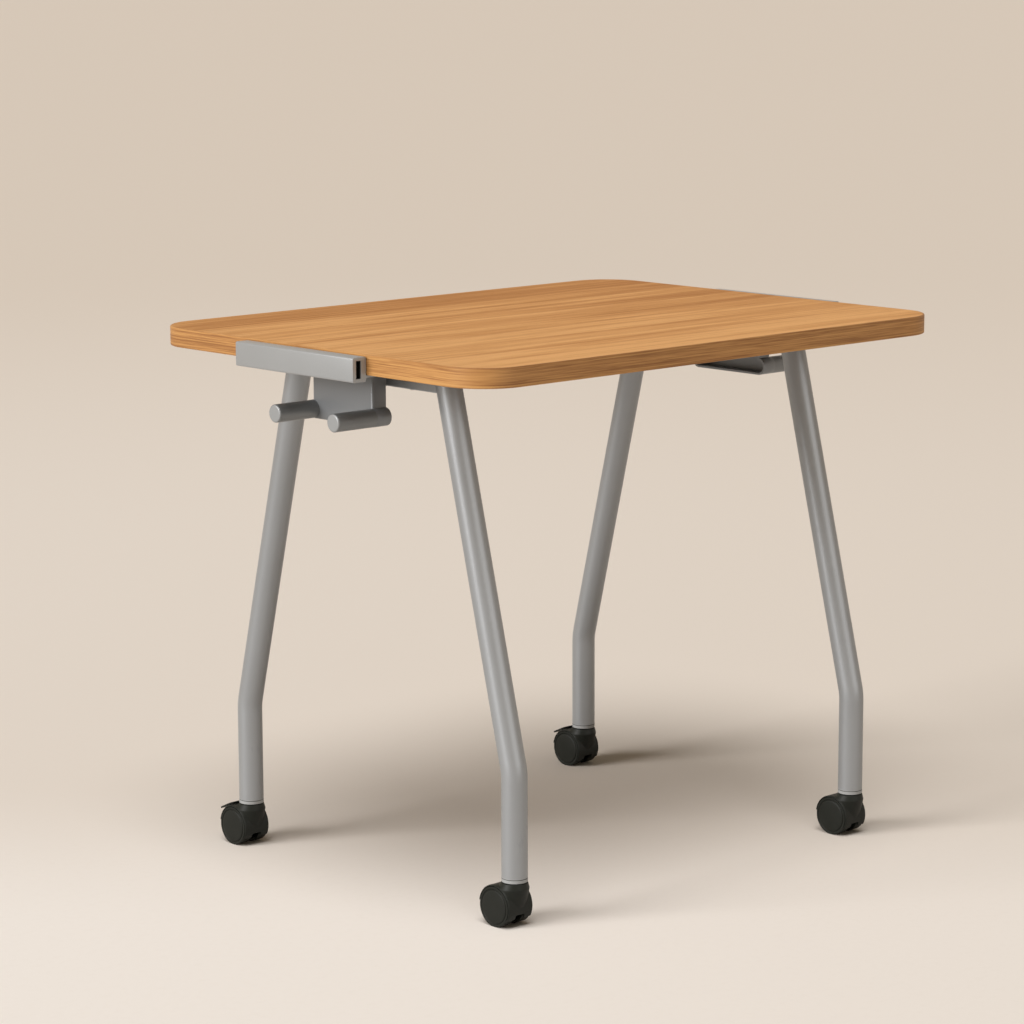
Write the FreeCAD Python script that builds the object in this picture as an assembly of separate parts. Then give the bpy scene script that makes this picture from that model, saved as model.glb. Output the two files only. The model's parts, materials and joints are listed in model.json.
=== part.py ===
import FreeCAD, Part
import math
import os

V = FreeCAD.Vector

# Table top, millimetres
TABLE_HEIGHT = 735.0
TOP_LENGTH = 865.0
TOP_DEPTH = 665.0
TOP_THICKNESS = 26.0
TOP_CORNER_RADIUS = 65.0
LAMINATE_THICKNESS = 1.0
BACKER_THICKNESS = 1.0
EDGE_BAND_THICKNESS = 2.0
EDGE_EASE = 1.5

# Legs, set in from the edges of the top
LEG_DIAMETER = 34.0
LEG_WALL = 2.0
LEG_END_INSET = 110.0
LEG_HEAD_INSET = 188.0
LEG_FOOT_INSET = 62.5
LEG_BEND_HEIGHT = 203.0
LEG_BEND_RADIUS = 70.0
WELD_GAP = 0.1

# Cross rails that join two leg heads
RAIL_WIDTH = 30.0
RAIL_HEIGHT = 30.0
RAIL_WALL = 2.0
RAIL_CORNER = 3.0
RAIL_SCREW_COUNT = 4
RAIL_SCREW_MARGIN = 64.25

# Dock rails on the short edges
DOCK_LENGTH = 236.0
DOCK_DEPTH = 22.0
DOCK_HEIGHT = 32.0
DOCK_DROP = 2.0
DOCK_STANDOFF = 1.2
DOCK_CORNER = 2.5
DOCK_OUTER_WALL = 5.5
DOCK_SLOT_WIDTH = 8.0
DOCK_SLOT_HEIGHT = 23.0
DOCK_FLANGE_THICKNESS = 3.0
DOCK_FLANGE_REACH = 32.0
DOCK_SCREW_COUNT = 4
DOCK_SCREW_MARGIN = 25.0

# Hook brackets and pegs
HOOK_INSET = 58.0
HOOK_WIDTH = 120.0
HOOK_DEPTH = 23.0
HOOK_WALL = 3.0
HOOK_BEND = 2.5
HOOK_SCREW_COUNT = 4
HOOK_SCREW_MARGIN = 15.0
PEG_DIAMETER = 24.0
PEG_LENGTH = 66.0
PEG_INSET = 1.0
PEG_DROP = 66.5
PEG_EASE = 2.5
PEG_SHOULDER = 1.0

# Pan-head screws
SCREW_RADIUS = 2.2
SCREW_HEAD_RADIUS = 4.4
SCREW_HEAD_HEIGHT = 2.6
SCREW_HEAD_EASE = 1.2
SCREW_GRIP = 16.0
SCREW_SLOT_WIDTH = 1.0
SCREW_SLOT_DEPTH = 1.2
SCREW_HOLE_CLEARANCE = 0.3
PILOT_CLEARANCE = 0.05

# Casters
WHEEL_DIAMETER = 53.0
CASTER_WIDTH = 44.0
CASTER_TRAIL = 17.0
WEB_THICKNESS = 12.0
WEB_RADIUS = 20.0
WHEEL_SIDE_GAP = 0.4
WHEEL_RIM = 3.5
WHEEL_EASE = 1.2
WHEEL_DOME = 1.0
WHEEL_DISC = 2.5
HUB_RADIUS = 7.0
AXLE_RADIUS = 3.0
AXLE_END_GAP = 0.4
HOOD_WIDTH = 42.0
HOOD_GAP = 0.6
HOOD_WALL = 1.9
HOOD_EASE = 1.8
HOOD_FRONT_ANGLE = 210.0
HOOD_REAR_ANGLE = 8.0
HOOD_NOTCH_WIDTH = 15.0
HOOD_NOTCH_RISE = 6.0
NECK_HEIGHT = 4.3
NECK_SHOULDER_DROP = 8.0
NECK_FOOT_RADIUS = 20.6
RUNNING_FIT = 0.06
SEAT_FIT = 0.02

# Caster stems and sockets
STEM_RADIUS = 5.5
STEM_LENGTH = 25.0
STEM_FLANGE_RADIUS = 9.0
STEM_FLANGE_THICKNESS = 1.0
STEM_PIN_RADIUS = 4.0
STEM_PIN_LENGTH = 20.0
STEM_END_GAP = 0.5
SWIVEL_GAP = 0.2
RING_WIDTH = 3.0
RING_DEPTH = 1.0
RING_OFFSET = 17.0
RING_SPLIT = 4.0
SOCKET_FLANGE = 6.0
SOCKET_PLUG_LENGTH = 34.0
SOCKET_FIT = 0.1
SOCKET_GROOVE_WIDTH = 0.8
SOCKET_GROOVE_DEPTH = 0.6
SOCKET_GROOVE_OFFSET = 4.2

# Brake pedals
PEDAL_ANGLE = 65.0
PEDAL_PRESS = 12.0
PEDAL_WIDTH = 38.0
PEDAL_THICKNESS = 2.0
PEDAL_GAP = 1.0
PEDAL_FRONT_REACH = 7.0
PEDAL_TIP_REACH = 20.5
PEDAL_PIN_DEPTH = 7.5
PEDAL_PIN_RADIUS = 1.5
EAR_WIDTH = 6.0
EAR_RADIUS = 3.0
EAR_SIDE_GAP = 0.3
EAR_SWING_ROOM = 2.0

# Coincidence tolerance, and how far a cutting tool runs past its work
TOUCH = 0.001
OVERRUN = 5.0

# Levels and places that follow from the sizes above
UNDERSIDE = TABLE_HEIGHT - TOP_THICKNESS
TOP_EDGE = TOP_LENGTH / 2
LEG_PLANE = TOP_EDGE - LEG_END_INSET
LEG_FOOT = TOP_DEPTH / 2 - LEG_FOOT_INSET
LEG_HEAD = TOP_DEPTH / 2 - LEG_HEAD_INSET
DOCK_INNER = TOP_EDGE + DOCK_STANDOFF
DOCK_OUTER = DOCK_INNER + DOCK_DEPTH
DOCK_TOP = TABLE_HEIGHT - DOCK_DROP
DOCK_BOTTOM = DOCK_TOP - DOCK_HEIGHT
HOOK_FACE = TOP_EDGE - HOOK_INSET
HOOK_BACK = HOOK_FACE - HOOK_DEPTH
PEG_SIDE = HOOK_WIDTH / 2 - PEG_INSET
PEG_LEVEL = UNDERSIDE - PEG_DROP
WHEEL_RADIUS = WHEEL_DIAMETER / 2
POCKET_RADIUS = WHEEL_RADIUS + HOOD_GAP
HOOD_RADIUS = POCKET_RADIUS + HOOD_WALL
HOOD_TOP = WHEEL_RADIUS + HOOD_RADIUS + NECK_HEIGHT
STEM_SEAT = HOOD_TOP + SWIVEL_GAP
SOCKET_BOTTOM = STEM_SEAT + STEM_FLANGE_THICKNESS
LEG_END = SOCKET_BOTTOM + SOCKET_FLANGE
AXLE = V(0, CASTER_TRAIL, WHEEL_RADIUS)
PEDAL_UNDERSIDE = HOOD_RADIUS + PEDAL_GAP
PEDAL_PIVOT = HOOD_RADIUS - PEDAL_PIN_DEPTH

ENDS = {"left": -1, "right": 1}
SIDES = {"front": -1, "rear": 1}
BRAKED_SIDES = ("rear",)


# General shapes

def box(x_span, y_span, z_span):
    """Block between two places on each axis, given in any order."""
    low = V(min(x_span), min(y_span), min(z_span))
    high = V(max(x_span), max(y_span), max(z_span))
    size = high - low
    return Part.makeBox(size.x, size.y, size.z, low)


def rod(radius, start, end):
    """Round bar between two points."""
    way = end - start
    return Part.makeCylinder(radius, way.Length, start, way)


def along(shape, direction):
    """Straight edges of a block that run along a direction."""
    found = []
    for edge in shape.Edges:
        span = edge.Vertexes[-1].Point - edge.Vertexes[0].Point
        if span.cross(direction).Length < TOUCH:
            found.append(edge)
    return found


def mirrored(shape, end):
    """A shape made for the right end, turned over for the left one."""
    if end > 0:
        return shape
    return shape.mirror(V(0, 0, 0), V(1, 0, 0))


def spaced(count, reach):
    """Evenly spaced places from minus a reach to plus it."""
    return [reach * (2 * index / (count - 1) - 1) for index in range(count)]


# Table top

def panel(inset, bottom, top):
    """Slab with the round-cornered outline of the top, drawn in by an inset."""
    half_x = TOP_LENGTH / 2 - inset
    half_y = TOP_DEPTH / 2 - inset
    slab = box((-half_x, half_x), (-half_y, half_y), (bottom, top))
    return slab.makeFillet(TOP_CORNER_RADIUS - inset, along(slab, V(0, 0, 1)))


def edge_band():
    """Band round the panel, with eased upper and lower rims."""
    slab = panel(0, UNDERSIDE, TABLE_HEIGHT)
    rims = [edge for edge in slab.Edges if edge.BoundBox.ZLength < TOUCH]
    return slab.makeFillet(EDGE_EASE, rims).cut(panel(EDGE_BAND_THICKNESS, UNDERSIDE, TABLE_HEIGHT))


# Screws

def screw(seat, direction, length):
    """Slotted pan-head screw with its head behind the seat and its shank ahead of it."""
    head = rod(SCREW_HEAD_RADIUS, V(0, 0, -SCREW_HEAD_HEIGHT), V(0, 0, 0))
    rim = [edge for edge in head.Edges if edge.BoundBox.ZMax < -SCREW_HEAD_HEIGHT / 2]
    head = head.makeFillet(SCREW_HEAD_EASE, rim)
    reach = SCREW_HEAD_RADIUS + OVERRUN
    width = SCREW_SLOT_WIDTH / 2
    slot_z = (-SCREW_HEAD_HEIGHT - OVERRUN, SCREW_SLOT_DEPTH - SCREW_HEAD_HEIGHT)
    slot = box((-reach, reach), (-width, width), slot_z)
    shape = head.cut(slot).fuse(rod(SCREW_RADIUS, V(0, 0, 0), V(0, 0, length)))
    shape.Placement = FreeCAD.Placement(seat, FreeCAD.Rotation(V(0, 0, 1), direction))
    return shape


def rail_screw_seats():
    """Points under the cross rails where their screws sit."""
    level = UNDERSIDE - RAIL_HEIGHT
    places = spaced(RAIL_SCREW_COUNT, LEG_HEAD - RAIL_SCREW_MARGIN)
    return [V(end * LEG_PLANE, y, level) for end in ENDS.values() for y in places]


def dock_screw_seats():
    """Points under the dock rails' flanges where their screws sit."""
    x = TOP_EDGE - DOCK_FLANGE_REACH / 2
    level = UNDERSIDE - DOCK_FLANGE_THICKNESS
    places = spaced(DOCK_SCREW_COUNT, DOCK_LENGTH / 2 - DOCK_SCREW_MARGIN)
    return [V(end * x, y, level) for end in ENDS.values() for y in places]


def hook_screw_seats():
    """Points under the brackets' top walls where their screws sit."""
    x = (HOOK_FACE - HOOK_WALL + HOOK_BACK) / 2
    level = UNDERSIDE - HOOK_WALL
    places = spaced(HOOK_SCREW_COUNT, HOOK_WIDTH / 2 - HOOK_SCREW_MARGIN)
    return [V(end * x, y, level) for end in ENDS.values() for y in places]


def wood_screws(seats):
    """Screws driven upwards from their seats into the top."""
    return Part.makeCompound([screw(seat, V(0, 0, 1), UNDERSIDE + SCREW_GRIP - seat.z) for seat in seats])


def peg_screws():
    """Screws that hold the pegs, driven outwards from inside the brackets."""
    made = []
    for end in ENDS.values():
        for side in SIDES.values():
            seat = V(end * (HOOK_FACE - HOOK_WALL), side * PEG_SIDE, PEG_LEVEL)
            made.append(screw(seat, V(end, 0, 0), HOOK_WALL + SCREW_GRIP))
    return Part.makeCompound(made)


def holes(seats, top, clearance):
    """Round tools for screw holes, from below each seat up to a level."""
    radius = SCREW_RADIUS + clearance
    return [rod(radius, seat - V(0, 0, OVERRUN), V(seat.x, seat.y, top)) for seat in seats]


# Legs and cross rails

def leg_path(end, side):
    """Centre line of a leg: a splayed run, one bend and an upright run."""
    bend = V(end * LEG_PLANE, side * LEG_FOOT, LEG_BEND_HEIGHT)
    head = V(end * LEG_PLANE, side * LEG_HEAD, UNDERSIDE)
    foot = V(bend.x, bend.y, LEG_END)
    down = V(0, 0, -1)
    up = (head - bend).normalize()
    turn = math.pi - up.getAngle(down)
    tangent = LEG_BEND_RADIUS * math.tan(turn / 2)
    start = bend + up * tangent
    finish = bend + down * tangent
    inward = (up + down).normalize()
    middle = bend + inward * (LEG_BEND_RADIUS / math.cos(turn / 2) - LEG_BEND_RADIUS)
    beyond = head + up * LEG_DIAMETER
    bend_arc = Part.Arc(start, middle, finish).toShape()
    return Part.Wire([Part.makeLine(beyond, start), bend_arc, Part.makeLine(finish, foot)])


def leg_bar(end, side, radius):
    """Solid round bar along a leg's centre line."""
    path = leg_path(end, side)
    first = path.Edges[0]
    ring = Part.makeCircle(radius, first.Vertexes[0].Point, first.tangentAt(first.FirstParameter))
    return path.makePipeShell([Part.Wire(ring)], True, False)


def leg(end, side):
    """Bent tube, cut level where it meets the top."""
    tube = leg_bar(end, side, LEG_DIAMETER / 2).cut(leg_bar(end, side, LEG_DIAMETER / 2 - LEG_WALL))
    reach = LEG_PLANE + LEG_FOOT
    above = box((-reach, reach), (-reach, reach), (UNDERSIDE, UNDERSIDE + 2 * LEG_DIAMETER))
    return tube.cut(above)


def cross_rail(end):
    """Rectangular tube with its ends coped to two legs and holes for its screws."""
    x = end * LEG_PLANE
    half = RAIL_WIDTH / 2
    bottom = UNDERSIDE - RAIL_HEIGHT
    y_span = (-LEG_HEAD, LEG_HEAD)
    tube = box((x - half, x + half), y_span, (bottom, UNDERSIDE))
    tube = tube.makeFillet(RAIL_CORNER, along(tube, V(0, 1, 0)))
    room = half - RAIL_WALL
    tube = tube.cut(box((x - room, x + room), y_span, (bottom + RAIL_WALL, UNDERSIDE - RAIL_WALL)))
    tools = [leg_bar(end, side, LEG_DIAMETER / 2 + WELD_GAP) for side in SIDES.values()]
    return tube.cut(tools + holes(rail_screw_seats(), UNDERSIDE + OVERRUN, SCREW_HOLE_CLEARANCE))


# Dock rails

def dock_rail():
    """Hollow rail for the right end, with a flange that goes under the top."""
    y_span = (-DOCK_LENGTH / 2, DOCK_LENGTH / 2)
    rail = box((DOCK_INNER, DOCK_OUTER), y_span, (DOCK_BOTTOM, DOCK_TOP))
    rail = rail.makeFillet(DOCK_CORNER, along(rail, V(0, 1, 0)))
    slot_outer = DOCK_OUTER - DOCK_OUTER_WALL
    middle = (DOCK_BOTTOM + DOCK_TOP) / 2
    slot_z = (middle - DOCK_SLOT_HEIGHT / 2, middle + DOCK_SLOT_HEIGHT / 2)
    rail = rail.cut(box((slot_outer - DOCK_SLOT_WIDTH, slot_outer), y_span, slot_z))
    flange_x = (TOP_EDGE - DOCK_FLANGE_REACH, slot_outer - DOCK_SLOT_WIDTH)
    flange = box(flange_x, y_span, (UNDERSIDE - DOCK_FLANGE_THICKNESS, UNDERSIDE))
    return rail.fuse(flange).cut(holes(dock_screw_seats(), UNDERSIDE + OVERRUN, SCREW_HOLE_CLEARANCE))


# Hook brackets and pegs

def bracket_block(wall, x_span):
    """Bracket outline, drawn in by a wall: a wide block on a sill with round ends."""
    half = HOOK_WIDTH / 2 - wall
    radius = PEG_DIAMETER / 2 + PEG_SHOULDER - wall
    block = box(x_span, (-half, half), (PEG_LEVEL, UNDERSIDE - wall))
    sill = box(x_span, (-PEG_SIDE, PEG_SIDE), (PEG_LEVEL - radius, PEG_LEVEL + radius))
    ends = []
    for side in SIDES.values():
        start = V(min(x_span), side * PEG_SIDE, PEG_LEVEL)
        ends.append(rod(radius, start, V(max(x_span), start.y, start.z)))
    return block.fuse([sill] + ends).removeSplitter()


def hook_bracket():
    """Bracket for the right end: a box open at its back."""
    outside = bracket_block(0, (HOOK_BACK, HOOK_FACE))
    face_edges = [edge for edge in along(outside, V(0, 0, 1)) if edge.BoundBox.XMin > HOOK_FACE - TOUCH]
    outside = outside.makeFillet(HOOK_BEND, face_edges)
    inside = bracket_block(HOOK_WALL, (HOOK_BACK - OVERRUN, HOOK_FACE - HOOK_WALL))
    shell = outside.cut(inside)
    radius = SCREW_RADIUS + SCREW_HOLE_CLEARANCE
    tools = holes(hook_screw_seats(), UNDERSIDE + OVERRUN, SCREW_HOLE_CLEARANCE)
    for side in SIDES.values():
        seat = V(HOOK_FACE, side * PEG_SIDE, PEG_LEVEL)
        tools.append(rod(radius, seat - V(HOOK_DEPTH, 0, 0), seat + V(OVERRUN, 0, 0)))
    return shell.cut(tools)


def hook_peg(side):
    """Peg for the right end, with an eased tip and a blind screw hole in its foot."""
    foot = V(HOOK_FACE, side * PEG_SIDE, PEG_LEVEL)
    peg = rod(PEG_DIAMETER / 2, foot, foot + V(PEG_LENGTH, 0, 0))
    tip = [edge for edge in peg.Edges if edge.BoundBox.XMin > HOOK_FACE + PEG_LENGTH / 2]
    hole = rod(SCREW_RADIUS + PILOT_CLEARANCE, foot, foot + V(SCREW_GRIP + PILOT_CLEARANCE, 0, 0))
    return peg.makeFillet(PEG_EASE, tip).cut(hole)


# Caster sockets, stems and grip rings, on the stem's own axis

def upright(radius, bottom, top):
    """Round bar on the stem's axis."""
    return rod(radius, V(0, 0, bottom), V(0, 0, top))


def caster_socket():
    """Plug in a leg's foot, with a grooved collar below the tube and a bore for the stem."""
    plug_radius = LEG_DIAMETER / 2 - LEG_WALL - SOCKET_FIT
    socket = upright(LEG_DIAMETER / 2, SOCKET_BOTTOM, LEG_END)
    groove_z = SOCKET_BOTTOM + SOCKET_GROOVE_OFFSET
    groove = upright(LEG_DIAMETER / 2 + OVERRUN, groove_z, groove_z + SOCKET_GROOVE_WIDTH)
    neck = upright(LEG_DIAMETER / 2 - SOCKET_GROOVE_DEPTH, groove_z, groove_z + SOCKET_GROOVE_WIDTH)
    plug = upright(plug_radius, LEG_END, LEG_END + SOCKET_PLUG_LENGTH)
    bore_end = SOCKET_BOTTOM + STEM_LENGTH + STEM_END_GAP
    bore = upright(STEM_RADIUS + RUNNING_FIT, SOCKET_BOTTOM, bore_end)
    return socket.cut(groove.cut(neck)).fuse(plug).cut(bore)


def ring_span():
    """Lower and upper level of the grip ring's groove."""
    return (SOCKET_BOTTOM + RING_OFFSET, SOCKET_BOTTOM + RING_OFFSET + RING_WIDTH)


def caster_stem():
    """Stem with a flange under the socket, a groove for the grip ring and a swivel pin below."""
    low, high = ring_span()
    stem = upright(STEM_RADIUS, SOCKET_BOTTOM, SOCKET_BOTTOM + STEM_LENGTH)
    stem = stem.cut(upright(STEM_RADIUS, low, high))
    core = upright(STEM_RADIUS - RING_DEPTH, low, high)
    flange = upright(STEM_FLANGE_RADIUS, STEM_SEAT, SOCKET_BOTTOM)
    pin = upright(STEM_PIN_RADIUS, HOOD_TOP - STEM_PIN_LENGTH, STEM_SEAT)
    return stem.fuse([core, flange, pin])


def grip_ring():
    """Split spring ring in the stem's groove."""
    low, high = ring_span()
    low = low + SEAT_FIT
    high = high - SEAT_FIT
    ring = upright(STEM_RADIUS + RUNNING_FIT / 2, low, high)
    hole = upright(STEM_RADIUS - RING_DEPTH + SEAT_FIT, low, high)
    split = box((0, STEM_RADIUS + OVERRUN), (-RING_SPLIT / 2, RING_SPLIT / 2), (low, high))
    return ring.cut([hole, split])


# Caster hoods, axles and wheels

def cross_bar(radius, half):
    """Round bar on the axle's line, centred between the wheels."""
    return rod(radius, AXLE - V(half, 0, 0), AXLE + V(half, 0, 0))


def open_sector():
    """Wedge about the axle where the hood leaves the wheels bare."""
    sweep = HOOD_REAR_ANGLE + 360 - HOOD_FRONT_ANGLE
    bottom = V(0, 0, -CASTER_WIDTH)
    wedge = Part.makeCylinder(2 * HOOD_RADIUS, 2 * CASTER_WIDTH, bottom, V(0, 0, 1), sweep)
    onto_axle = FreeCAD.Rotation(V(0, 1, 0), V(0, 0, 1), V(1, 0, 0), "ZXY")
    start = FreeCAD.Rotation(V(0, 0, 1), HOOD_FRONT_ANGLE)
    wedge.Placement = FreeCAD.Placement(AXLE, onto_axle * start)
    return wedge


def hood_neck():
    """Neck that widens from the foot of the leg to a shoulder and runs down into the front of the hood."""
    foot_y = CASTER_TRAIL - HOOD_RADIUS + NECK_FOOT_RADIUS
    shoulder_y = foot_y * NECK_SHOULDER_DROP / (HOOD_TOP - WHEEL_RADIUS)
    shoulder_z = HOOD_TOP - NECK_SHOULDER_DROP
    foot = Part.makeCircle(NECK_FOOT_RADIUS, V(0, foot_y, WHEEL_RADIUS))
    shoulder = Part.makeCircle(NECK_FOOT_RADIUS, V(0, shoulder_y, shoulder_z))
    top = Part.makeCircle(LEG_DIAMETER / 2, V(0, 0, HOOD_TOP))
    return Part.makeLoft([Part.Wire(foot), Part.Wire(shoulder), Part.Wire(top)], True, True)


def caster_hood(braked):
    """Hood over both wheels, with a web between them that takes the stem and the axle."""
    barrel = cross_bar(HOOD_RADIUS, HOOD_WIDTH / 2)
    rims = [edge for edge in barrel.Edges if edge.BoundBox.XLength < TOUCH]
    hood = barrel.makeFillet(HOOD_EASE, rims).fuse(hood_neck())
    pockets = cross_bar(POCKET_RADIUS, CASTER_WIDTH).cut(cross_bar(POCKET_RADIUS, WEB_THICKNESS / 2))
    bare = open_sector().cut(cross_bar(WEB_RADIUS, WEB_THICKNESS / 2))
    notch_top = WHEEL_RADIUS + HOOD_RADIUS * math.sin(math.radians(HOOD_FRONT_ANGLE)) + HOOD_NOTCH_RISE
    notch_y = (CASTER_TRAIL - HOOD_RADIUS - OVERRUN, CASTER_TRAIL - WEB_RADIUS)
    notch = box((-HOOD_NOTCH_WIDTH / 2, HOOD_NOTCH_WIDTH / 2), notch_y, (0, notch_top))
    bore = upright(STEM_PIN_RADIUS + RUNNING_FIT, HOOD_TOP - STEM_PIN_LENGTH - STEM_END_GAP, HOOD_TOP)
    axle_hole = cross_bar(AXLE_RADIUS + SEAT_FIT, WEB_THICKNESS)
    tools = [pockets, bare, notch, bore, axle_hole]
    if braked:
        swing = EAR_RADIUS + EAR_SWING_ROOM
        slot_half = EAR_WIDTH / 2 + EAR_SIDE_GAP
        slot_bottom = PEDAL_PIVOT - EAR_RADIUS - EAR_SIDE_GAP
        tools.append(pedal_block((-swing, swing), (slot_bottom, HOOD_RADIUS + OVERRUN), slot_half))
        tools.append(pedal_pin_bar(PEDAL_PIN_RADIUS + SEAT_FIT))
    return hood.cut(tools)


def caster_axle():
    """Plain axle, which ends inside both wheels."""
    return cross_bar(AXLE_RADIUS, CASTER_WIDTH / 2 - WHEEL_DISC - AXLE_END_GAP)


def wheel(end):
    """Wheel with a domed outer disc, an open inner face and a blind hub bore."""
    inner = WEB_THICKNESS / 2 + WHEEL_SIDE_GAP
    outer = CASTER_WIDTH / 2
    rim_face = outer - WHEEL_DOME
    disc = outer - WHEEL_DISC - WHEEL_DOME
    bore = AXLE_RADIUS + RUNNING_FIT
    bore_end = outer - WHEEL_DISC
    outline = [
        (inner, bore),
        (inner, HUB_RADIUS),
        (disc, HUB_RADIUS),
        (disc, WHEEL_RADIUS - WHEEL_RIM),
        (inner, WHEEL_RADIUS - WHEEL_RIM),
        (inner, WHEEL_RADIUS - WHEEL_EASE),
        (inner + WHEEL_EASE, WHEEL_RADIUS),
        (rim_face - WHEEL_EASE, WHEEL_RADIUS),
        (rim_face, WHEEL_RADIUS - WHEEL_EASE),
        (outer, 0),
        (bore_end, 0),
        (bore_end, bore),
    ]
    corners = [AXLE + V(x, 0, radius) for x, radius in outline]
    face = Part.Face(Part.makePolygon(corners + corners[:1]))
    return mirrored(face.revolve(AXLE, V(1, 0, 0), 360), end)


# Brake pedals, drawn square to the hood's rear slope

def pedal_block(along_span, out_span, half_width):
    """Block set by its places along the slope and out from the axle."""
    block = box((-half_width, half_width), along_span, out_span)
    block.Placement = FreeCAD.Placement(AXLE, FreeCAD.Rotation(V(1, 0, 0), PEDAL_ANGLE - 90))
    return block


def pedal_pin_bar(radius):
    """Round bar on the pedal's pivot line, as long as the web is thick."""
    slope = math.radians(PEDAL_ANGLE)
    pivot = AXLE + V(0, math.cos(slope), math.sin(slope)) * PEDAL_PIVOT
    half = V(WEB_THICKNESS / 2, 0, 0)
    return rod(radius, pivot - half, pivot + half)


def brake_pedal():
    """Pedal plate over the hood, with an ear that goes down to the pivot pin."""
    top = PEDAL_UNDERSIDE + PEDAL_THICKNESS
    plate = pedal_block((-PEDAL_FRONT_REACH, PEDAL_TIP_REACH), (PEDAL_UNDERSIDE, top), PEDAL_WIDTH / 2)
    ear = pedal_block((-EAR_RADIUS, EAR_RADIUS), (PEDAL_PIVOT, PEDAL_UNDERSIDE), EAR_WIDTH / 2)
    ear_slab = pedal_block((-EAR_RADIUS, EAR_RADIUS), (PEDAL_PIVOT - EAR_RADIUS, PEDAL_PIVOT), EAR_WIDTH / 2)
    ear_end = pedal_pin_bar(EAR_RADIUS).common(ear_slab)
    pedal = plate.fuse([ear, ear_end]).removeSplitter()
    return pedal.cut(pedal_pin_bar(PEDAL_PIN_RADIUS + RUNNING_FIT))


# One caster

def caster(end, braked):
    """The pieces of one caster and its socket, with the stem's axis on the origin."""
    pieces = {
        "caster_socket": caster_socket(),
        "caster_stem": caster_stem(),
        "grip_ring": grip_ring(),
        "caster_hood": caster_hood(braked),
        "caster_axle": caster_axle(),
        "outer_wheel": wheel(end),
        "inner_wheel": wheel(-end),
    }
    if braked:
        pieces["brake_pedal"] = brake_pedal()
        pieces["brake_pin"] = pedal_pin_bar(PEDAL_PIN_RADIUS)
    return pieces


# The whole table

def build():
    """Every piece of the table, by name."""
    seats = rail_screw_seats() + dock_screw_seats() + hook_screw_seats()
    pilots = holes(seats, UNDERSIDE + SCREW_GRIP, PILOT_CLEARANCE)
    backer_top = UNDERSIDE + BACKER_THICKNESS
    core_top = TABLE_HEIGHT - LAMINATE_THICKNESS
    parts = {
        "tabletop_core": panel(EDGE_BAND_THICKNESS, backer_top, core_top).cut(pilots),
        "top_laminate": panel(EDGE_BAND_THICKNESS, core_top, TABLE_HEIGHT),
        "underside_backer": panel(EDGE_BAND_THICKNESS, UNDERSIDE, backer_top).cut(pilots),
        "edge_band": edge_band(),
        "cross_rail_screws": wood_screws(rail_screw_seats()),
        "dock_rail_screws": wood_screws(dock_screw_seats()),
        "hook_bracket_screws": wood_screws(hook_screw_seats()),
        "hook_peg_screws": peg_screws(),
    }
    for end_name, end in ENDS.items():
        parts["cross_rail_" + end_name] = cross_rail(end)
        parts["dock_rail_" + end_name] = mirrored(dock_rail(), end)
        parts["hook_bracket_" + end_name] = mirrored(hook_bracket(), end)
        for side_name, side in SIDES.items():
            corner = end_name + "_" + side_name
            parts["leg_" + corner] = leg(end, side)
            parts["hook_peg_" + corner] = mirrored(hook_peg(side), end)
            pieces = caster(end, side_name in BRAKED_SIDES)
            foot = V(end * LEG_PLANE, side * LEG_FOOT, 0)
            parts.update({name + "_" + corner: shape.translated(foot) for name, shape in pieces.items()})
    return parts


os.makedirs("parts", exist_ok=True)
for name, shape in build().items():
    print(name, len(shape.Solids), shape.isValid(), round(shape.Volume / 1000, 2), "cm3")
    shape.exportStep("parts/" + name + ".step")
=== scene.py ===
# %% [markdown]
# # A student table on casters
# This lesson dresses a finished CAD model of a small classroom table. The CAD pieces are the fixed
# frame: they hold every size and every joint. Blender adds what a camera sees, which is finish, soft
# edges and small moulded detail. Pieces whose CAD shape already looks right only get a finish, and the
# casters, brake pedals, end rails and hook brackets are modelled again by hand.

# %% Load the frame
import bpy
import json
import math
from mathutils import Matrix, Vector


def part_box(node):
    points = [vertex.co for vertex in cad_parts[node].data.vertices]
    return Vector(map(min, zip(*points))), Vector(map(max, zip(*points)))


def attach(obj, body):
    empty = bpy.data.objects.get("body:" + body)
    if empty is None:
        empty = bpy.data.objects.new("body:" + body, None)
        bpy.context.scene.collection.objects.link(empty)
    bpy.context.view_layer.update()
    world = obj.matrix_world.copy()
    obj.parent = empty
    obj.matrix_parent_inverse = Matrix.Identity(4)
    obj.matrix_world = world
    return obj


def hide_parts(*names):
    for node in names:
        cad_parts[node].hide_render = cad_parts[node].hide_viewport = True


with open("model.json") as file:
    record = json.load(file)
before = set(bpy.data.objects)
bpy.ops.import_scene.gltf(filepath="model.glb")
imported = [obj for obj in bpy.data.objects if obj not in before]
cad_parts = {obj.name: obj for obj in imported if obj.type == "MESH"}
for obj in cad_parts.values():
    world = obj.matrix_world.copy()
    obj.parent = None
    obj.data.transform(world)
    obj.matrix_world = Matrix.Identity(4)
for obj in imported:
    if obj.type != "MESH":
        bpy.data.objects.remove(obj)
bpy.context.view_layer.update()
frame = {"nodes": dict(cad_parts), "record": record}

MM = 0.001
ENDS = {"left": -1, "right": 1}
CORNERS = ("left_front", "left_rear", "right_front", "right_rear")

# %% [markdown]
# ## Camera
# The photograph was taken from the left front corner, a little above the top. Its lens is long, so the
# far legs are hardly smaller than the near ones. A camera fitted to the edges of the top and to the
# four feet gives the place and the angles below, with no shift and hardly any roll.

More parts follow.
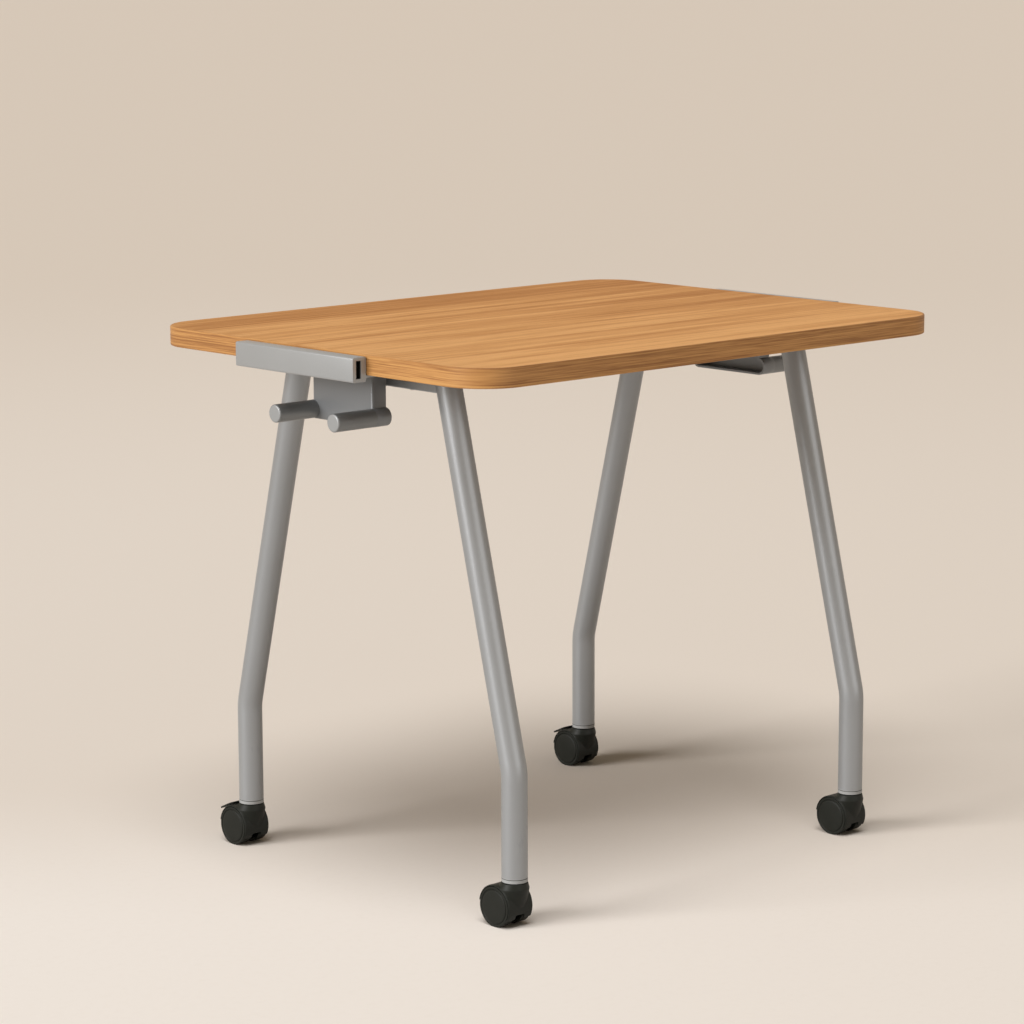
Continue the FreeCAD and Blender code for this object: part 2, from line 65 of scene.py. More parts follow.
# %% Camera
CAMERA_PLACE = (-3.14667, -3.31478, 1.27342)
CAMERA_ANGLES = (79.99, 0.177, -42.851)
SENSOR_WIDTH = 36
LENS = 118.03
SIGHT = 1000
bpy.ops.object.select_all(action="DESELECT")
bpy.ops.object.camera_add(location=CAMERA_PLACE, rotation=[math.radians(angle) for angle in CAMERA_ANGLES])
camera = bpy.context.object
camera.name = "camera"
camera.data.sensor_width = SENSOR_WIDTH
camera.data.lens = LENS
camera.data.clip_end = SIGHT
bpy.context.scene.camera = camera
print("camera lens", LENS, "mm")

# %% [markdown]
# ## Wiring for finishes
# Every finish here is made from nodes, and most of it is arithmetic on patterns. Wiring each Math node
# by hand hides the idea, so one small class stands for a socket and lets it be added, multiplied and
# compared as a number. A second class holds one material. Its add method makes any node: first its
# settings, then its sockets.

# %% A socket that does arithmetic
class Signal:
    """One output of a shader node, ready for plain arithmetic."""

    def __init__(self, finish, socket):
        self.finish = finish
        self.socket = socket

    def math(self, operation, first, second=0.0):
        return self.finish.add("ShaderNodeMath", {"operation": operation}, {0: first, 1: second})

    def __add__(self, other):
        return self.math("ADD", self, other)

    def __radd__(self, other):
        return self.math("ADD", other, self)

    def __sub__(self, other):
        return self.math("SUBTRACT", self, other)

    def __rsub__(self, other):
        return self.math("SUBTRACT", other, self)

    def __mul__(self, other):
        return self.math("MULTIPLY", self, other)

    def __rmul__(self, other):
        return self.math("MULTIPLY", other, self)

    def __lt__(self, other):
        return self.math("LESS_THAN", self, other)

    def __gt__(self, other):
        return self.math("GREATER_THAN", self, other)

    def __abs__(self):
        return self.math("ABSOLUTE", self)

    def ramp(self, low, high):
        """0 below one value, 1 above another, and a soft rise between them."""
        sockets = {"Value": self, "From Min": low, "From Max": high}
        return self.finish.add("ShaderNodeMapRange", {"interpolation_type": "SMOOTHSTEP"}, sockets)


print("sockets can be added, multiplied and compared")

# %% A material that takes nodes one by one
class Finish:
    """One material, its Principled shader and the patterns that feed it."""

    def __init__(self, name):
        self.material = bpy.data.materials.new(name)
        self.material.use_nodes = True
        self.nodes = self.material.node_tree.nodes
        self.links = self.material.node_tree.links
        self.shader = self.nodes["Principled BSDF"]
        self.place = self.add("ShaderNodeTexCoord", output="Object")

    def join(self, node, sockets):
        """Sets or links a node's inputs, by number, name or identifier."""
        for key, value in sockets.items():
            if isinstance(key, int):
                socket = node.inputs[key]
            else:
                socket = next(s for s in node.inputs if key in (s.identifier, s.name))
            if isinstance(value, Signal):
                self.links.new(value.socket, socket)
            else:
                socket.default_value = value

    def add(self, kind, settings=None, sockets=None, output=0):
        """Any node: its type, its settings, its sockets' values or links, and the output that is wanted."""
        node = self.nodes.new(kind)
        for key, value in (settings or {}).items():
            setattr(node, key, value)
        self.join(node, sockets or {})
        if isinstance(output, int):
            return Signal(self, node.outputs[output])
        return Signal(self, next(s for s in node.outputs if output in (s.identifier, s.name)))

    def axis(self, letter):
        """Place along one axis, in metres."""
        return self.add("ShaderNodeSeparateXYZ", sockets={0: self.place}, output=letter)

    def grain(self, scale, detail=2.0, roughness=0.5, shift=(0, 0, 0)):
        """Noise with its own number of cells per metre along each axis."""
        sockets = {"Vector": self.place, "Location": shift, "Scale": scale}
        spot = self.add("ShaderNodeMapping", sockets=sockets)
        sockets = {"Vector": spot, "Scale": 1.0, "Detail": detail, "Roughness": roughness}
        return self.add("ShaderNodeTexNoise", sockets=sockets)

    def mix(self, first, second, amount):
        """One colour into another."""
        sockets = {"Factor_Float": amount, "A_Color": first, "B_Color": second}
        return self.add("ShaderNodeMix", {"data_type": "RGBA"}, sockets, "Result_Color")

    def bump(self, height, distance):
        """Relief of a real height in metres."""
        sockets = {"Height": height, "Distance": distance}
        self.surface({"Normal": self.add("ShaderNodeBump", sockets=sockets)})

    def surface(self, sockets):
        """Values and patterns for the shader itself."""
        self.join(self.shader, sockets)


print("materials can take nodes one by one")

# %% Colours
def tone(red, green, blue):
    """A colour given as it looks on a screen, 0 to 255, turned into the light that a shader works with."""
    parts = [value / 255 for value in (red, green, blue)]
    return tuple(p / 12.92 if p <= 0.04045 else ((p + 0.055) / 1.055) ** 2.4 for p in parts) + (1.0,)


def dimmed(colour, factor):
    """The same colour with less or more light."""
    return tuple(min(1.0, part * factor) for part in colour[:3]) + (1.0,)


print("middle grey is", round(tone(128, 128, 128)[0], 3), "of full light")

# %% [markdown]
# ## Floor, background and light
# The table stands on a seamless floor that runs on past the top of the picture. Its colour holds painted
# light and shadow: it is painted palest in front, and darker under and behind the table and towards the
# right. A soft key stands high at the left front corner and a low fill at the left end, with an even room
# around them, so the left ends are bright, the long side is in half shade and the shadow falls to the
# back and the right. Area lamps would fade with distance, so all lamps are suns with a wide angle. A third
# one in front shows only in reflections, and gives the tubes their second streak. The floor is see-through
# from below, so that the underside can be looked at too.

# %% Floor
FLOOR_NEAR_PAINTED_LIGHT = tone(250, 244, 238)
FLOOR_FAR_AND_PAINTED_SHADE = tone(222, 210, 197)
FLOOR_SIZE = 600
INTO_X, INTO_Y = 0.68, 0.73
PAINTED_LIGHT_FRONT = (-0.45, 0.35)
PAINTED_SIDE_SHADE_SPAN = (-1.4, 1.4)
FAR_SPAN = (2.0, 8.0)
bpy.ops.object.select_all(action="DESELECT")
bpy.ops.mesh.primitive_plane_add(size=FLOOR_SIZE, location=(0, 0, 0))
floor = bpy.context.object
floor.name = "floor"
paper = Finish("paper_floor_painted_light_and_shade")
inward = paper.axis("X") * INTO_X + paper.axis("Y") * INTO_Y
across = paper.axis("X") * INTO_Y - paper.axis("Y") * INTO_X
reach = paper.add("ShaderNodeVectorMath", {"operation": "LENGTH"}, {0: paper.place}, "Value")
weave = paper.grain((90, 90, 90), detail=3)
# Painted light and shadow: the floor is painted palest in front and darker from under the table backwards.
shade = paper.mix(FLOOR_NEAR_PAINTED_LIGHT, FLOOR_FAR_AND_PAINTED_SHADE, inward.ramp(*PAINTED_LIGHT_FRONT) * 0.55 + 0.1)
# Painted shade: the floor is painted darker towards the right, away from the lamps.
shade = paper.mix(shade, FLOOR_FAR_AND_PAINTED_SHADE, across.ramp(*PAINTED_SIDE_SHADE_SPAN) * 0.35)
shade = paper.mix(shade, FLOOR_FAR_AND_PAINTED_SHADE, reach.ramp(*FAR_SPAN))
shade = paper.mix(shade, FLOOR_FAR_AND_PAINTED_SHADE, (weave - 0.5) * 0.25)
paper.surface({"Base Color": shade, "Roughness": 0.9, "Specular IOR Level": 0.0})
sheet = Signal(paper, paper.shader.outputs[0])
under = paper.add("ShaderNodeNewGeometry", output="Backfacing")
clear = paper.add("ShaderNodeBsdfTransparent")
seen = paper.add("ShaderNodeMixShader", sockets={0: under, 1: sheet, 2: clear})
paper.links.new(seen.socket, paper.nodes["Material Output"].inputs["Surface"])
floor.data.materials.append(paper.material)
print("floor laid")

# %% Background
ROOM = (0.170, 0.148, 0.115, 1.0)
BACKDROP = tone(214, 200, 184)
world = bpy.data.worlds.new("room")
bpy.context.scene.world = world
world.use_nodes = True
wires = world.node_tree
wires.nodes.clear()


def either(first, second):
    """1 where one of two sockets is 1."""
    node = wires.nodes.new("ShaderNodeMath")
    node.operation = "MAXIMUM"
    wires.links.new(first, node.inputs[0])
    wires.links.new(second, node.inputs[1])
    return node.outputs[0]


rays = wires.nodes.new("ShaderNodeLightPath")
looked_at = either(rays.outputs["Is Camera Ray"], rays.outputs["Is Transmission Ray"])
looked_at = either(looked_at, rays.outputs["Is Glossy Ray"])
around = wires.nodes.new("ShaderNodeMix")
around.data_type = "RGBA"
wires.links.new(looked_at, around.inputs["Factor"])
around.inputs[6].default_value = ROOM
around.inputs[7].default_value = BACKDROP
glow = wires.nodes.new("ShaderNodeBackground")
wires.links.new(around.outputs[2], glow.inputs["Color"])
result = wires.nodes.new("ShaderNodeOutputWorld")
wires.links.new(glow.outputs["Background"], result.inputs["Surface"])
print("background set")

# %% Light
LAMP_TINT = (1.0, 0.988, 0.98)


def soft_sun(name, lean, turn, strength, spread):
    """An even light from the left: its lean from upright, and how far round to the rear it stands."""
    bpy.ops.object.light_add(type="SUN", rotation=(0, math.radians(-lean), math.radians(-turn)))
    lamp = bpy.context.object
    lamp.name = name
    lamp.data.energy = strength
    lamp.data.angle = math.radians(spread)
    lamp.data.color = LAMP_TINT
    return lamp


key = soft_sun("soft_key", 22, -40, 1.62, 36)
fill = soft_sun("low_fill", 70, 14, 2.53, 30)
glint = soft_sun("front_glint", 65, -95, 0.8, 52)
glint.visible_diffuse = False
bpy.context.scene.view_settings.view_transform = "Standard"
print("light set,", [lamp.name for lamp in (key, fill, glint)])

# %% [markdown]
# ## Wood-grain laminate
# The top is a printed oak laminate: its grain runs along the length of the table, in broad soft bands
# with fine streaks and short dark pores on them. A wave texture would repeat too evenly, so the bands,
# veins and streaks come from noise that is stretched along the grain, coarse to fine, and their sum
# picks the colour. The sum also rises towards the far side and the right end, which is painted shade:
# the top is painted darker away from the lamps. The edge band is a thin strip with its own print, in
# lines that run round the top.

# %% Top laminate
OAK_LIGHT = tone(222, 168, 110)
OAK_MID = tone(201, 146, 90)
OAK_DARK = tone(164, 109, 59)
PORE = tone(134, 85, 45)
oak_top = Finish("oak_laminate_top")
board_tone = oak_top.grain((0.9, 9, 9), detail=2, shift=(3, 1, 0))
band = oak_top.grain((1.5, 44, 44), detail=4, roughness=0.6)
vein = oak_top.grain((4.5, 150, 150), detail=4, roughness=0.65, shift=(1, 7, 0))
streak = oak_top.grain((9, 520, 520), detail=3, roughness=0.6)
pore = oak_top.grain((30, 1500, 1500), detail=1).ramp(0.60, 0.74)
figure = board_tone * 0.18 + band * 0.40 + vein * 0.30 + streak * 0.12
# Painted shade: the figure rises with Y and X, so the top is painted darker at the far side and the right.
figure = figure + oak_top.axis("Y") * 0.17 + oak_top.axis("X") * 0.10
wood = oak_top.mix(OAK_LIGHT, OAK_MID, figure.ramp(0.41, 0.51))
wood = oak_top.mix(wood, OAK_DARK, figure.ramp(0.50, 0.62) * 0.8)
wood = oak_top.mix(wood, PORE, pore * 0.30)
oak_top.surface({"Base Color": wood, "Roughness": 0.56 + streak * 0.12 + pore * 0.1})
oak_top.surface({"Specular IOR Level": 0.08})
oak_top.bump(streak * 0.6 - pore, 0.00004)
print("top laminate,", len(oak_top.nodes), "nodes")

# %% Edge band
EDGE_LIGHT = tone(196, 146, 86)
EDGE_MID = tone(180, 129, 74)
EDGE_DARK = tone(146, 98, 51)
oak_edge = Finish("oak_edge_band")
layer = oak_edge.grain((5, 5, 520), detail=4, roughness=0.62)
wisp = oak_edge.grain((22, 22, 900), detail=3, shift=(2, 5, 1))
slow = oak_edge.grain((3.0, 3.0, 70), detail=2, shift=(7, 2, 4))
figure = layer * 0.50 + slow * 0.28 + wisp * 0.22
wood = oak_edge.mix(EDGE_LIGHT, EDGE_MID, figure.ramp(0.40, 0.50))
wood = oak_edge.mix(wood, EDGE_DARK, figure.ramp(0.47, 0.60))
wood = oak_edge.mix(wood, PORE, wisp.ramp(0.54, 0.72) * 0.35)
oak_edge.surface({"Base Color": wood, "Roughness": 0.48 + wisp * 0.12, "Specular IOR Level": 0.35})
oak_edge.bump(layer * 0.5 + wisp * 0.5, 0.00006)
print("edge band,", len(oak_edge.nodes), "nodes")

# %% [markdown]
# ## Board and backer
# Under the laminate is pressed board, which shows only inside the screw holes, and a brown backer sheet
# closes the underside. The board is made of small flakes, so a cell pattern gives each flake its own
# shade.

# %% Board and backer
board = Finish("particle_board")
flake = board.add("ShaderNodeTexVoronoi", sockets={"Vector": board.place, "Scale": 420.0}, output="Color")
shade = board.add("ShaderNodeSeparateColor", sockets={0: flake}, output="Red")
board.surface({"Base Color": board.mix(tone(186, 152, 110), tone(140, 108, 72), shade), "Roughness": 0.85})
board.bump(shade, 0.0001)
backer = Finish("brown_backer_sheet")
fleck = backer.grain((160, 160, 160), detail=4, roughness=0.6)
long_fleck = backer.grain((14, 220, 220), detail=3)
brown = backer.mix(tone(128, 98, 70), tone(104, 78, 55), fleck * 0.5 + long_fleck * 0.5)
backer.surface({"Base Color": brown, "Roughness": 0.62 + fleck * 0.14})
backer.bump(fleck, 0.00005)
print("board and backer done")

# %% [markdown]
# ## Silver-grey coat
# Legs, cross rails, brackets and pegs have a silver-grey powder coat. Its skin is faintly pebbled where
# the powder melted, with small flakes of aluminium in it. Low metal, medium roughness and a fine bump
# give that. The end rails are the same colour on an extrusion, a little lighter. The brackets and pegs
# get darker copies of the coat, as painted shade under the top. Painted shade also darkens the rail
# slots and the groove round each collar, and painted light makes the flat ends of the pegs paler. A
# mask on the place of each point gives all three without more pieces.

# %% Places of painted light and shade
SLOT_X = (442.2, 450.2)
SLOT_Z = (705.5, 728.5)
RAIL_HALF = 118
SKIN = 0.3
MOUTH_FADE = (2.5, 0.2)
TIP_FADE = (1.2, 0.2)
GROOVE_Z = (4.15, 5.05)
PEG_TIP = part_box("hook_peg_right_front")[1].x
COLLAR_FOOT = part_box("caster_socket_right_front")[0].z


def between(signal, low, high):
    """1 between two values and 0 elsewhere."""
    return abs(signal - (low + high) / 2) < (high - low) / 2


def in_slot(coat):
    """1 inside the slot of an end rail, a little behind its mouth, where the painted shade goes."""
    across = between(abs(coat.axis("X")), (SLOT_X[0] - SKIN) * MM, (SLOT_X[1] + SKIN) * MM)
    upright = between(coat.axis("Z"), (SLOT_Z[0] - SKIN) * MM, (SLOT_Z[1] + SKIN) * MM)
    mouth = abs(coat.axis("Y")).ramp((RAIL_HALF - MOUTH_FADE[0]) * MM, (RAIL_HALF - MOUTH_FADE[1]) * MM)
    return across * upright * (1 - mouth)


def at_tip(coat):
    """1 on the flat end of a peg, where the painted light goes."""
    return abs(coat.axis("X")).ramp(PEG_TIP - TIP_FADE[0] * MM, PEG_TIP - TIP_FADE[1] * MM)


def in_groove(coat):
    """1 in the groove round a collar, where the painted shade goes."""
    return between(coat.axis("Z"), COLLAR_FOOT + GROOVE_Z[0] * MM, COLLAR_FOOT + GROOVE_Z[1] * MM)


print("pegs end at", round(PEG_TIP, 4), "m, collars start at", round(COLLAR_FOOT, 4), "m")

# %% Powder coat
def powder_coat(name, colour, metal, roughness, patch=None):
    """Grey coat: pebbled skin, fine flakes, dull scuffs low down, and a patch of painted shade or light."""
    coat = Finish(name)
    pebble = coat.grain((1500, 1500, 1500), detail=1)
    flake = coat.grain((5200, 5200, 5200), detail=0)
    cloud = coat.grain((9, 9, 9), detail=2)
    scuff = coat.grain((120, 120, 24), detail=3, roughness=0.7).ramp(0.62, 0.72)
    low = 1 - coat.axis("Z").ramp(0.07, 0.30)
    dull = dimmed(colour, 0.72)
    bright = dimmed(colour, 1.22)
    paint = coat.mix(colour, dull, (cloud - 0.5) * 0.35 + 0.08)
    paint = coat.mix(paint, bright, flake.ramp(0.62, 0.80) * 0.35)
    paint = coat.mix(paint, dull, scuff * low * 0.2)
    if patch:
        mask, painted_tone = patch
        paint = coat.mix(paint, painted_tone, mask(coat))
    coat.surface({"Base Color": paint, "Metallic": metal})
    coat.surface({"Roughness": roughness + (pebble - 0.5) * 0.16 + scuff * low * 0.15})
    coat.bump(pebble, 0.00003)
    return coat


# Painted shade in the rail slots, and painted light on the flat ends of the pegs.
SLOT_PAINTED_SHADE = tone(34, 34, 33)
TIP_PAINTED_LIGHT = tone(153, 156, 158)
grey_paint = powder_coat("silver_grey_coat", tone(152, 155, 158), 0.45, 0.38)
grey_rail = powder_coat("silver_grey_rail", tone(160, 163, 165), 0.40, 0.38, (in_slot, SLOT_PAINTED_SHADE))
# Painted shade: the bracket coat is a darker copy of the legs' coat, for the shade under the top.
grey_bracket = powder_coat("silver_grey_bracket_painted_shade", tone(128, 131, 134), 0.35, 0.42)
# Painted light and shade: the peg coat is a darker copy for shade, with painted light on its flat ends.
grey_peg = powder_coat("silver_grey_peg_painted_light_and_shade", tone(127, 130, 132), 0.35, 0.42, (at_tip, TIP_PAINTED_LIGHT))
print("four grey coats done")

# %% [markdown]
# ## Plastic and steel
# The caster bodies and wheels are black nylon with a fine moulded grain, and they pick up pale dust low
# down. The collars at the leg ends are light grey plastic. Screws are zinc plated, and stems, axles and
# pins are bright turned steel with rings left by the tool.

# %% Black nylon, tread and collar
def moulded(name, colour, dust, roughness, patch=None):
    """Moulded plastic with a fine grain, some dust where it is low, and a patch of painted shade if given.
    """
    plastic = Finish(name)
    fine = plastic.grain((2600, 2600, 2600), detail=1)
    cloud = plastic.grain((70, 70, 70), detail=3, roughness=0.6)
    low = 1 - plastic.axis("Z").ramp(0.0, 0.05)
    film = cloud.ramp(0.35, 0.75) * (low * 0.8 + 0.2)
    skin = plastic.mix(colour, dust, film * 0.22)
    if patch:
        mask, painted_tone = patch
        skin = plastic.mix(skin, painted_tone, mask(plastic))
    plastic.surface({"Base Color": skin, "Specular IOR Level": 0.25})
    plastic.surface({"Roughness": roughness + (cloud - 0.5) * 0.18 + film * 0.1})
    plastic.bump(fine, 0.00003)
    return plastic


# Painted shade: the groove round each collar is painted dark.
GROOVE_PAINTED_SHADE = tone(84, 84, 83)
COLLAR_GREY = tone(158, 160, 161)
COLLAR_DUST = tone(146, 145, 142)
black_nylon = moulded("black_nylon", tone(18, 22, 17), tone(46, 46, 41), 0.50)
black_tread = moulded("black_wheel", tone(12, 16, 10), tone(44, 44, 39), 0.48)
grey_collar = moulded("light_grey_collar", COLLAR_GREY, COLLAR_DUST, 0.45, (in_groove, GROOVE_PAINTED_SHADE))
print("moulded plastics done")

# %% Steel
def steel(name, colour, roughness, rings):
    """Bare or plated steel with tool rings along its length."""
    metal = Finish(name)
    ring = metal.grain((40, 40, rings), detail=2)
    blot = metal.grain((260, 260, 260), detail=2)
    metal.surface({"Base Color": metal.mix(colour, dimmed(colour, 0.8), blot), "Metallic": 1.0})
    metal.surface({"Roughness": roughness + (ring - 0.5) * 0.15 + (blot - 0.5) * 0.1})
    metal.bump(ring, 0.00001)
    return metal


bright_steel = steel("bright_turned_steel", tone(186, 186, 184), 0.30, 4200)
zinc_steel = steel("zinc_plated_screw", tone(172, 173, 170), 0.38, 900)
print("steels done")

# %% [markdown]
# ## Helpers for modelling
# An operator works on everything that is selected, so each piece starts with nothing else selected.
# Faces and edges are then picked in code by where they are and which way they point, as a hand would
# click them. What repeats is copied with its own mesh, and every finished piece is tied to the frame in
# the same four lines.

# %% Picking and cutting
def begin(name):
    """Names the primitive that was just added, and puts its place into its mesh."""
    piece = bpy.context.object
    piece.name = name
    piece.data.name = name
    bpy.ops.object.transform_apply(location=True, rotation=True, scale=True)
    return piece


def alone(piece):
    """Only this piece is selected and active."""
    bpy.ops.object.select_all(action="DESELECT")
    piece.select_set(True)
    bpy.context.view_layer.objects.active = piece


def pick(piece, kind, test):
    """Edit mode with those faces or edges selected that pass a test on their place and direction."""
    bpy.ops.object.mode_set(mode="EDIT")
    bpy.ops.mesh.select_mode(type=kind)
    bpy.ops.mesh.select_all(action="DESELECT")
    bpy.ops.object.mode_set(mode="OBJECT")
    spots = piece.data.vertices
    if kind == "FACE":
        for face in piece.data.polygons:
            face.select = bool(test(face.center, face.normal))
    else:
        for edge in piece.data.edges:
            start, end = (spots[index].co for index in edge.vertices)
            edge.select = bool(test((start + end) / 2, (end - start).normalized()))
    bpy.ops.object.mode_set(mode="EDIT")


def slice_at(spot, direction):
    """Cuts new edges across the whole piece where a plane meets it."""
    bpy.ops.mesh.select_all(action="SELECT")
    bpy.ops.mesh.bisect(plane_co=spot, plane_no=direction)


print("faces and edges can be picked")

# %% Finishing and copying
EDGE_ANGLE = math.radians(35)
SMOOTH_ANGLE = math.radians(40)


def use(piece, kind, **settings):
    """Adds a modifier, sets it and applies it."""
    alone(piece)
    modifier = piece.modifiers.new(kind.lower(), kind)
    for key, value in settings.items():
        setattr(modifier, key, value)
    bpy.ops.object.modifier_apply(modifier=modifier.name)


def soften(piece, width, segments=2):
    """Rounds every true edge and smooths the rest."""
    use(piece, "BEVEL", width=width, segments=segments, limit_method="ANGLE", angle_limit=EDGE_ANGLE)
    bpy.ops.object.shade_smooth_by_angle(angle=SMOOTH_ANGLE)


def copy_to(pattern, name, place, half_turn_about=None):
    """A copy with its own mesh at a place, turned half round an upright line if one is given."""
    alone(pattern)
    bpy.ops.object.duplicate()
    piece = bpy.context.object
    piece.name = name
    piece.data.name = name
    piece.location = (place[0], place[1], 0)
    if half_turn_about is not None:
        piece.rotation_euler = (0, 0, math.pi)
        piece.location = (place[0], place[1] + 2 * half_turn_about, 0)
    bpy.ops.object.transform_apply(location=True, rotation=True, scale=True)
    return piece


def settle(piece, finish, body, node):
    """Gives a piece its finish and the body it rides on, and hides the CAD node it replaces."""
    piece.data.materials.append(finish.material)
    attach(piece, body)
    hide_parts(node)


def foot_of(corner):
    """Where the stem of a caster stands on the floor."""
    low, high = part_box("caster_stem_" + corner)
    return (low.x + high.x) / 2, (low.y + high.y) / 2


print("corners at", [tuple(round(v, 4) for v in foot_of(c)) for c in CORNERS])

# %% [markdown]
# ## Wheels
# Each caster has two wheels: a smooth domed disc with a fine groove on the outside, and an open back
# with ribs on the inside. A lathe profile could be spun, but a cylinder is quicker: its two caps are
# inset and pushed in or out ring by ring. Each pair of numbers is one ring of the face: how far it is
# inset, and how far it then moves outwards. Leaving one face in nine behind when the back is sunk makes
# the ribs without another step.

# %% Wheel blank and outer face
AXLE = (17, 26.5)
AXLE_Y = AXLE[0] * MM
WHEEL_RADIUS = AXLE[1] * MM
WHEEL_SIDES = 72
WHEEL_INNER = 6.4 * MM
WHEEL_RIM = 21 * MM
FACE_RINGS = ((2.9, 0), (0.35, -0.7), (0.8, 0), (0.35, 0.9), (2.5, 0.3), (5, 0.32), (5, 0.15), (4, 0.03))
bpy.ops.object.select_all(action="DESELECT")
bpy.ops.mesh.primitive_cylinder_add(
    vertices=WHEEL_SIDES,
    radius=WHEEL_RADIUS,
    depth=WHEEL_RIM - WHEEL_INNER,
    location=((WHEEL_RIM + WHEEL_INNER) / 2, AXLE_Y, WHEEL_RADIUS),
    rotation=(0, math.pi / 2, 0),
)
wheel = begin("wheel_pattern")
pick(wheel, "FACE", lambda spot, way: way.x > 0.9)
for inward, outward in FACE_RINGS:
    bpy.ops.mesh.inset(thickness=inward * MM)
    bpy.ops.transform.translate(value=(outward * MM, 0, 0))
bpy.ops.object.mode_set(mode="OBJECT")
print("wheel face with", len(FACE_RINGS), "rings")

# %% Wheel back, ribs and bore
RIM_WALL = 3.5 * MM
HUB_RADIUS = 7 * MM
BORE_RADIUS = 3.06 * MM
BACK_DEPTH = 11 * MM
BORE_DEPTH = 12 * MM
BACK_RING = (10 * MM, 20 * MM)
FACE_TURN = 360 / WHEEL_SIDES
RIB_EVERY = 9
WHEEL_EASE = 0.45 * MM


def from_axle(spot):
    """Distance and turn of a spot about the axle."""
    across, up = spot.y - AXLE_Y, spot.z - WHEEL_RADIUS
    return math.hypot(across, up), math.degrees(math.atan2(up, across)) % 360


def in_back(spot, way):
    """A face of the open back, between hub and rim, unless it stays behind as a rib."""
    distance, turn = from_axle(spot)
    inside = BACK_RING[0] < distance < BACK_RING[1]
    return way.x < -0.9 and inside and int(turn / FACE_TURN) % RIB_EVERY


pick(wheel, "FACE", lambda spot, way: way.x < -0.9)
bpy.ops.mesh.inset(thickness=RIM_WALL)
bpy.ops.mesh.inset(thickness=WHEEL_RADIUS - RIM_WALL - HUB_RADIUS)
pick(wheel, "FACE", in_back)
bpy.ops.mesh.extrude_region_move(TRANSFORM_OT_translate={"value": (BACK_DEPTH, 0, 0)})
pick(wheel, "FACE", lambda spot, way: way.x < -0.9 and from_axle(spot)[0] < 1 * MM)
bpy.ops.mesh.inset(thickness=HUB_RADIUS - BORE_RADIUS)
bpy.ops.mesh.extrude_region_move(TRANSFORM_OT_translate={"value": (BORE_DEPTH, 0, 0)})
bpy.ops.object.mode_set(mode="OBJECT")
soften(wheel, WHEEL_EASE)
print("wheel pattern,", len(wheel.data.polygons), "faces")

# %% [markdown]
# ## Caster hoods
# A hood is one black moulding: a barrel over both wheels, a neck that widens from the leg into the
# barrel, a web between the wheels and a notch low in front. It could be pulled from a single box, but
# its parts are plain rounds, so they are joined and cut with Boolean modifiers. A voxel remesh and a
# light smooth then melt all edges as in a real mould.

# %% Tools for Boolean work
ROUND_SIDES = 96


def round_bar(name, radius, x_span, spot=AXLE):
    """Cylinder along X between two places, about a line at a given Y and Z, all in millimetres."""
    bpy.ops.object.select_all(action="DESELECT")
    bpy.ops.mesh.primitive_cylinder_add(
        vertices=ROUND_SIDES,
        radius=radius * MM,
        depth=(x_span[1] - x_span[0]) * MM,
        location=((x_span[0] + x_span[1]) / 2 * MM, spot[0] * MM, spot[1] * MM),
        rotation=(0, math.pi / 2, 0),
    )
    return begin(name)


def upright_bar(name, radius, spot, z_span):
    """Upright cylinder at a given X and Y between two levels, all in millimetres."""
    bpy.ops.object.select_all(action="DESELECT")
    bpy.ops.mesh.primitive_cylinder_add(
        vertices=ROUND_SIDES,
        radius=radius * MM,
        depth=(z_span[1] - z_span[0]) * MM,
        location=(spot[0] * MM, spot[1] * MM, (z_span[0] + z_span[1]) / 2 * MM),
    )
    return begin(name)


def block(name, low, high):
    """Block between two corners, given in millimetres."""
    bpy.ops.object.select_all(action="DESELECT")
    middle = [(a + b) / 2 * MM for a, b in zip(low, high)]
    size = [(b - a) * MM for a, b in zip(low, high)]
    bpy.ops.mesh.primitive_cube_add(size=1, location=middle, scale=size)
    return begin(name)


def combine(piece, tool, operation):
    """Joins a tool to a piece or cuts it away, and clears the tool."""
    use(piece, "BOOLEAN", object=tool, operation=operation, solver="EXACT")
    bpy.data.objects.remove(tool)


print("Boolean tools ready")

# %% Hood barrel and neck
HOOD_RADIUS = 29
HOOD_HALF = 21
HOOD_TOP = 59.8
NECK_RADIUS = 17
SHOULDER_RADIUS = 20.6
SHOULDER_Z = 51.8
SHOULDER_Y = 2.07
NECK_FOOT_Y = 8.6
HOOD_EASE = 1.8
hood = round_bar("hood_pattern", HOOD_RADIUS, (-HOOD_HALF, HOOD_HALF))
pick(hood, "FACE", lambda spot, way: abs(way.x) > 0.9)
bpy.ops.mesh.region_to_loop()
bpy.ops.mesh.bevel(offset=HOOD_EASE * MM, segments=4)
bpy.ops.object.mode_set(mode="OBJECT")
neck = upright_bar("neck_tool", NECK_RADIUS, (0, 0), (SHOULDER_Z, HOOD_TOP))
widen = SHOULDER_RADIUS / NECK_RADIUS
to_foot = (0, (NECK_FOOT_Y - SHOULDER_Y) * MM, WHEEL_RADIUS - SHOULDER_Z * MM)
pick(neck, "FACE", lambda spot, way: way.z < -0.9)
bpy.ops.transform.resize(value=(widen, widen, 1), center_override=(0, 0, SHOULDER_Z * MM))
bpy.ops.transform.translate(value=(0, SHOULDER_Y * MM, 0))
bpy.ops.mesh.extrude_region_move(TRANSFORM_OT_translate={"value": to_foot})
bpy.ops.object.mode_set(mode="OBJECT")
combine(hood, neck, "UNION")
print("barrel and neck joined")

